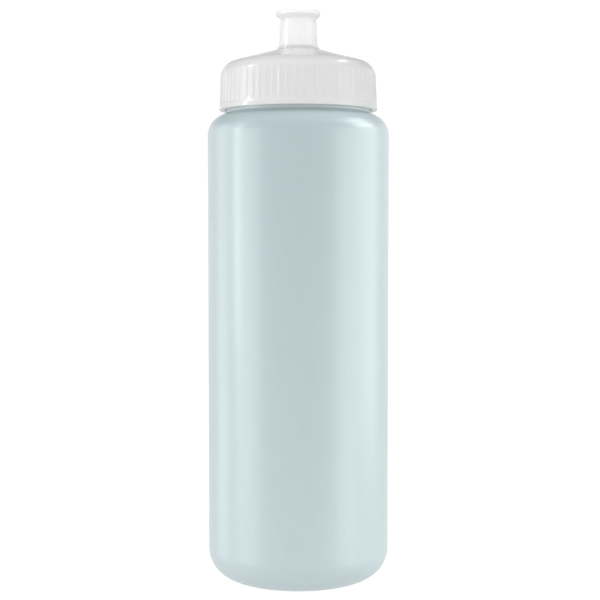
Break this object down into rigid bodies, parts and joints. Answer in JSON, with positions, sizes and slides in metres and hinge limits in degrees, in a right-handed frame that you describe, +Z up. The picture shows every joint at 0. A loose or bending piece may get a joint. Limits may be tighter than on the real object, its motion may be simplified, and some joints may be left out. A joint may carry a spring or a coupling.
{
  "type": "sports squeeze bottle",
  "caption": "Straight squeeze bottle with a rounded shoulder and base, a ribbed screw lid with a low cone, and a push-pull drinking spout.",
  "frame": {"origin": "centre of the ring that the base stands on, on the bottle's axis", "axes": "+Z up along the bottle's axis, from the base to the spout; the bottle is round, so X and Y are any two square directions"},
  "size_m": [0.0786, 0.0786, 0.2459],
  "materials": {
    "body_plastic": "satin, translucent polyethylene",
    "gasket_foam": "matte foamed sheet",
    "lid_plastic": "semi-gloss, translucent polyethylene",
    "spout_plastic": "semi-gloss, translucent polyethylene"
  },
  "bodies": {
    "bottle": {"bottle_body": "body_plastic"},
    "gasket": {"lid_gasket": "gasket_foam"},
    "lid": {"screw_lid": "lid_plastic"},
    "spout": {"pull_spout": "spout_plastic"}
  },
  "joints": [
    {"name": "lid_lift", "type": "slide", "parent": "bottle", "child": "gasket", "axis": [0, 0, 1], "range_m": [0, 0.0189]},
    {"name": "lid_turn", "type": "hinge", "parent": "gasket", "child": "lid", "pos_m": [0, 0, 0.21], "axis": [0, 0, 1], "range_deg": [0, 1620]},
    {"name": "spout_pull", "type": "slide", "parent": "lid", "child": "spout", "axis": [0, 0, 1], "range_m": [0, 0.0065]}
  ],
  "couplings": [
    {"joint": "lid_lift", "follows": "lid_turn", "m_per_rad": 0.00066845}
  ]
}
